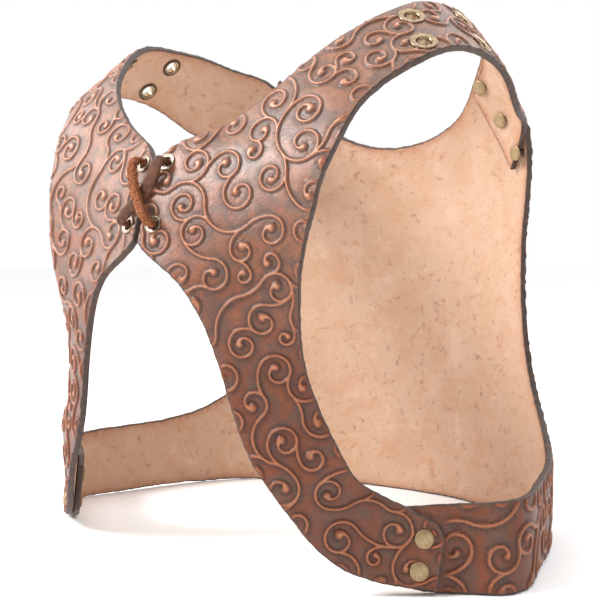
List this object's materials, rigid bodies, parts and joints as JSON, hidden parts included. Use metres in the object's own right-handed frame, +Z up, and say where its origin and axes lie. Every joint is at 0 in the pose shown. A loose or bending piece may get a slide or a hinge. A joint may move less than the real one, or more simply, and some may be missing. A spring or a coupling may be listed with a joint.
{
  "type": "leather breastplate harness",
  "caption": "Leather breastplate harness for a person: scroll-embossed front panels laced at the breast, riveted to a back panel with waist straps, shoulder eyelets.",
  "frame": {"origin": "on the ground under the middle of the harness, which stands on its hem", "axes": "+Z up, -Y to the wearer's front, +X to the wearer's left; symmetric about X = 0 but for the lace"},
  "size_m": [0.326, 0.2567, 0.2911],
  "materials": {
    "embossed_leather": "embossed scrollwork, antiqued red-brown grain side, pale tan flesh side",
    "suede": "brown suede thong",
    "rivet_brass": "antiqued brass",
    "eyelet_brass": "antiqued brass",
    "eyelet_nickel": "worn antique brass, nearly silver"
  },
  "bodies": {
    "root": {"back_panel": "embossed_leather", "back_rivet_cap_left_1": "rivet_brass", "back_rivet_cap_left_2": "rivet_brass", "back_rivet_cap_left_3": "rivet_brass", "back_rivet_cap_right_1": "rivet_brass", "back_rivet_cap_right_2": "rivet_brass", "back_rivet_cap_right_3": "rivet_brass", "back_rivet_post_left_1": "rivet_brass", "back_rivet_post_left_2": "rivet_brass", "back_rivet_post_left_3": "rivet_brass", "back_rivet_post_right_1": "rivet_brass", "back_rivet_post_right_2": "rivet_brass", "back_rivet_post_right_3": "rivet_brass", "front_panel_left": "embossed_leather", "front_panel_right": "embossed_leather", "lace": "suede", "lacing_eyelet_left_low": "eyelet_nickel", "lacing_eyelet_left_top": "eyelet_nickel", "lacing_eyelet_right_low": "eyelet_nickel", "lacing_eyelet_right_top": "eyelet_nickel", "lacing_washer_left_low": "eyelet_nickel", "lacing_washer_left_top": "eyelet_nickel", "lacing_washer_right_low": "eyelet_nickel", "lacing_washer_right_top": "eyelet_nickel", "shoulder_eyelet_left_1": "eyelet_brass", "shoulder_eyelet_left_2": "eyelet_brass", "shoulder_eyelet_left_3": "eyelet_brass", "shoulder_eyelet_left_4": "eyelet_brass", "shoulder_eyelet_right_1": "eyelet_brass", "shoulder_eyelet_right_2": "eyelet_brass", "shoulder_eyelet_right_3": "eyelet_brass", "shoulder_eyelet_right_4": "eyelet_brass", "shoulder_washer_left_1": "eyelet_brass", "shoulder_washer_left_2": "eyelet_brass", "shoulder_washer_left_3": "eyelet_brass", "shoulder_washer_left_4": "eyelet_brass", "shoulder_washer_right_1": "eyelet_brass", "shoulder_washer_right_2": "eyelet_brass", "shoulder_washer_right_3": "eyelet_brass", "shoulder_washer_right_4": "eyelet_brass", "waist_rivet_cap_left_1": "rivet_brass", "waist_rivet_cap_left_2": "rivet_brass", "waist_rivet_cap_right_1": "rivet_brass", "waist_rivet_cap_right_2": "rivet_brass", "waist_rivet_post_left_1": "rivet_brass", "waist_rivet_post_left_2": "rivet_brass", "waist_rivet_post_right_1": "rivet_brass", "waist_rivet_post_right_2": "rivet_brass"}
  },
  "joints": []
}
